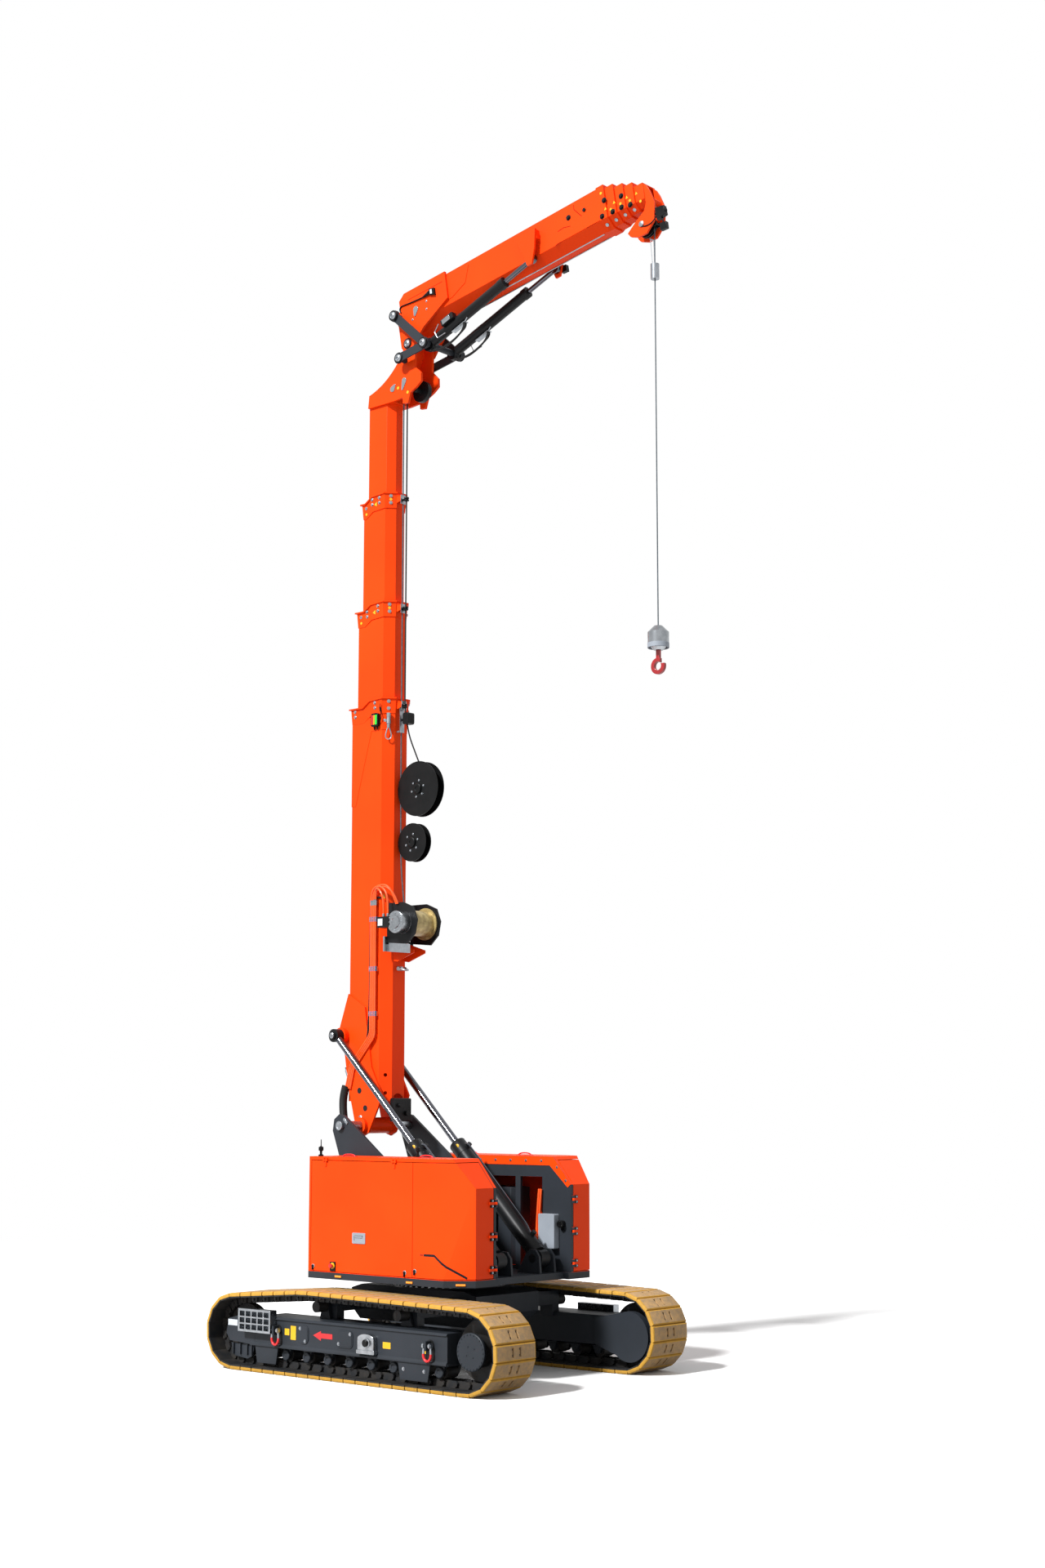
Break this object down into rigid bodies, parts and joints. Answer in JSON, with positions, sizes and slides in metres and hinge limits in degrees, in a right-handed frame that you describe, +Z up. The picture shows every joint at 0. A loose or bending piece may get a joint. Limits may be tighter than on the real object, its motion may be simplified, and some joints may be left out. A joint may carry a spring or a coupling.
{
  "type": "tracked telescopic crane with knuckle jib",
  "caption": "Compact tracked crane with a telescopic boom, folding telescopic jib, two luffing cylinders, winch and hook, on wide extending track frames.",
  "frame": {"origin": "on the ground, midway between the tracks and midway along the cross beams' length", "axes": "+X the way the boom comes down and the jib points, +Y the machine's left, +Z up"},
  "size_m": [4.7137, 2.728, 11.3468],
  "materials": {
    "orange paint": "satin",
    "dark frame paint": "satin",
    "black paint": "satin",
    "chrome rod": "polished",
    "bright steel": "brushed",
    "track shoe": "matt",
    "track steel": "rough",
    "hose rubber": "matt",
    "grey casing": "matt",
    "red hook paint": "satin",
    "rope": "brushed",
    "reel plastic": "matt"
  },
  "bodies": {
    "undercarriage": {"centre_frame": "dark frame paint", "slew_ring": "black paint"},
    "right_track": {"right_track_frame": "dark frame paint", "right_cross_beams": "dark frame paint", "right_track_wheels": "track steel", "right_track_belt": "track shoe", "right_step": "grey casing"},
    "left_track": {"left_track_frame": "dark frame paint", "left_cross_beams": "dark frame paint", "left_track_wheels": "track steel", "left_track_belt": "track shoe", "left_step": "grey casing"},
    "superstructure": {"machine_frame": "dark frame paint", "boom_pin": "bright steel", "right_cowl": "orange paint", "left_cowl": "orange paint", "power_unit": "black paint", "tank_unit": "grey casing", "deck_equipment": "black paint"},
    "right_side_door": {"right_side_door": "orange paint"},
    "right_front_door": {"right_front_door": "orange paint"},
    "left_side_door": {"left_side_door": "orange paint"},
    "left_front_door": {"left_front_door": "orange paint"},
    "luff_barrels": {"luff_barrels": "black paint"},
    "luff_rods": {"luff_rods": "chrome rod"},
    "boom": {"boom_base": "orange paint", "winch_frame": "black paint", "reel_brackets": "black paint", "boom_hoses": "hose rubber"},
    "winch_drum": {"winch_drum": "rope"},
    "large_reel": {"large_reel": "reel plastic"},
    "small_reel": {"small_reel": "reel plastic"},
    "boom_section_2": {"boom_section_2": "orange paint"},
    "boom_section_3": {"boom_section_3": "orange paint"},
    "boom_section_4": {"boom_section_4": "orange paint", "boom_head": "orange paint"},
    "head_sheave": {"head_sheave": "black paint"},
    "jib": {"jib_base": "orange paint"},
    "link_lower": {"link_lower": "dark frame paint"},
    "link_upper": {"link_upper": "dark frame paint"},
    "jib_barrels": {"jib_barrels": "black paint"},
    "jib_rods": {"jib_rods": "chrome rod"},
    "jib_section_2": {"jib_section_2": "orange paint"},
    "jib_section_3": {"jib_section_3": "orange paint"},
    "jib_section_4": {"jib_section_4": "orange paint"},
    "jib_section_5": {"jib_section_5": "orange paint", "jib_head": "orange paint"},
    "tip_sheave": {"tip_sheave": "black paint"},
    "rope_guide": {"rope_guide": "black paint"},
    "load_line": {"load_line": "rope", "limit_weight": "bright steel"},
    "hook_block": {"hook_block": "bright steel"},
    "hook": {"hook": "red hook paint"}
  },
  "joints": [
    {"name": "right_track_width", "type": "slide", "parent": "undercarriage", "child": "right_track", "axis": [0, -1, 0], "range_m": [-0.365, 0]},
    {"name": "left_track_width", "type": "slide", "parent": "undercarriage", "child": "left_track", "axis": [0, 1, 0], "range_m": [-0.365, 0]},
    {"name": "slew", "type": "hinge", "parent": "undercarriage", "child": "superstructure", "pos_m": [0.1, 0, 0.85], "axis": [0, 0, 1], "continuous": true},
    {"name": "right_side_door", "type": "hinge", "parent": "superstructure", "child": "right_side_door", "pos_m": [0, -1.004, 1.998], "axis": [-1, 0, 0], "range_deg": [0, 75]},
    {"name": "right_front_door", "type": "hinge", "parent": "superstructure", "child": "right_front_door", "pos_m": [1.214, -0.553, 1.4], "axis": [0, 0, 1], "range_deg": [0, 95]},
    {"name": "left_side_door", "type": "hinge", "parent": "superstructure", "child": "left_side_door", "pos_m": [0, 1.004, 1.998], "axis": [1, 0, 0], "range_deg": [0, 75]},
    {"name": "left_front_door", "type": "hinge", "parent": "superstructure", "child": "left_front_door", "pos_m": [1.214, 0.553, 1.4], "axis": [0, 0, -1], "range_deg": [0, 95]},
    {"name": "boom_luff", "type": "hinge", "parent": "superstructure", "child": "boom", "pos_m": [-0.92, 0, 2.32], "axis": [0, 1, 0], "range_deg": [0, 90]},
    {"name": "luff_barrel_swing", "type": "hinge", "parent": "superstructure", "child": "luff_barrels", "pos_m": [1, 0, 1.085], "axis": [0, 1, 0], "range_deg": [0, 12]},
    {"name": "luff_rod_stroke", "type": "slide", "parent": "luff_barrels", "child": "luff_rods", "axis": [-0.7181, 0, 0.6959], "range_m": [-1.24, 0]},
    {"name": "winch_turn", "type": "hinge", "parent": "boom", "child": "winch_drum", "pos_m": [-0.395, 0, 4.33], "axis": [0, 1, 0], "continuous": true},
    {"name": "large_reel_turn", "type": "hinge", "parent": "boom", "child": "large_reel", "pos_m": [-0.328, 0, 5.69], "axis": [0, 1, 0], "continuous": true},
    {"name": "small_reel_turn", "type": "hinge", "parent": "boom", "child": "small_reel", "pos_m": [-0.412, 0, 5.15], "axis": [0, 1, 0], "continuous": true},
    {"name": "boom_extend", "type": "slide", "parent": "boom", "child": "boom_section_2", "axis": [0, 0, 1], "range_m": [-0.85, 2.1]},
    {"name": "boom_extend_3", "type": "slide", "parent": "boom_section_2", "child": "boom_section_3", "axis": [0, 0, 1], "range_m": [-0.85, 2.1]},
    {"name": "boom_extend_4", "type": "slide", "parent": "boom_section_3", "child": "boom_section_4", "axis": [0, 0, 1], "range_m": [-0.85, 2.1]},
    {"name": "head_sheave_turn", "type": "hinge", "parent": "boom_section_4", "child": "head_sheave", "pos_m": [-0.345, 0, 9.87], "axis": [0, 1, 0], "continuous": true},
    {"name": "jib_fold", "type": "hinge", "parent": "boom_section_4", "child": "jib", "pos_m": [-0.391, 0, 10.359], "axis": [0, -1, 0], "range_deg": [-40, 60]},
    {"name": "link_lower_swing", "type": "hinge", "parent": "boom_section_4", "child": "link_lower", "pos_m": [-0.457, 0, 10.2], "axis": [0, -1, 0], "range_deg": [-19, 28.5]},
    {"name": "link_upper_swing", "type": "hinge", "parent": "jib", "child": "link_upper", "pos_m": [-0.501, 0, 10.658], "axis": [0, -1, 0], "range_deg": [-20, 13.5]},
    {"name": "jib_barrel_swing", "type": "hinge", "parent": "link_upper", "child": "jib_barrels", "pos_m": [-0.068, 0, 10.266], "axis": [0, -1, 0], "range_deg": [-16, 23.5]},
    {"name": "jib_rod_stroke", "type": "slide", "parent": "jib_barrels", "child": "jib_rods", "axis": [0.93, 0, 0.3674], "range_m": [-0.12, 0.18]},
    {"name": "jib_extend", "type": "slide", "parent": "jib", "child": "jib_section_2", "axis": [0.9863, 0, 0.165], "range_m": [0, 1.5]},
    {"name": "jib_extend_3", "type": "slide", "parent": "jib_section_2", "child": "jib_section_3", "axis": [0.9863, 0, 0.165], "range_m": [0, 1.5]},
    {"name": "jib_extend_4", "type": "slide", "parent": "jib_section_3", "child": "jib_section_4", "axis": [0.9863, 0, 0.165], "range_m": [0, 1.5]},
    {"name": "jib_extend_5", "type": "slide", "parent": "jib_section_4", "child": "jib_section_5", "axis": [0.9863, 0, 0.165], "range_m": [0, 1.5]},
    {"name": "tip_sheave_turn", "type": "hinge", "parent": "jib_section_5", "child": "tip_sheave", "pos_m": [2.64431, 0, 10.84564], "axis": [0, 1, 0], "continuous": true},
    {"name": "line_plumb_jib", "type": "hinge", "parent": "jib_section_5", "child": "rope_guide", "pos_m": [2.64431, 0, 10.84564], "axis": [0, -1, 0], "range_deg": [-60, 40]},
    {"name": "line_plumb_boom", "type": "hinge", "parent": "rope_guide", "child": "load_line", "pos_m": [2.64431, 0, 10.84564], "axis": [0, 1, 0], "range_deg": [-90, 0]},
    {"name": "hoist", "type": "slide", "parent": "load_line", "child": "hook_block", "axis": [0, 0, 1], "range_m": [0, 3.2], "deforming": ["load_line"]},
    {"name": "hook_swivel", "type": "hinge", "parent": "hook_block", "child": "hook", "pos_m": [2.73061, 0, 6.7], "axis": [0, 0, 1], "continuous": true}
  ],
  "couplings": [
    {"joint": "luff_barrel_swing", "follows": "boom_luff", "ratio": 0.13211},
    {"joint": "luff_rod_stroke", "follows": "boom_luff", "m_per_rad": -0.78642},
    {"joint": "boom_extend_3", "follows": "boom_extend", "ratio": 1},
    {"joint": "boom_extend_4", "follows": "boom_extend", "ratio": 1},
    {"joint": "link_lower_swing", "follows": "jib_fold", "ratio": 0.46},
    {"joint": "link_upper_swing", "follows": "jib_fold", "ratio": -0.325},
    {"joint": "jib_barrel_swing", "follows": "jib_fold", "ratio": 0.38},
    {"joint": "jib_rod_stroke", "follows": "jib_fold", "m_per_rad": 0.166},
    {"joint": "jib_extend_3", "follows": "jib_extend", "ratio": 1},
    {"joint": "jib_extend_4", "follows": "jib_extend", "ratio": 1},
    {"joint": "jib_extend_5", "follows": "jib_extend", "ratio": 1},
    {"joint": "line_plumb_jib", "follows": "jib_fold", "ratio": -1},
    {"joint": "line_plumb_boom", "follows": "boom_luff", "ratio": -1}
  ]
}
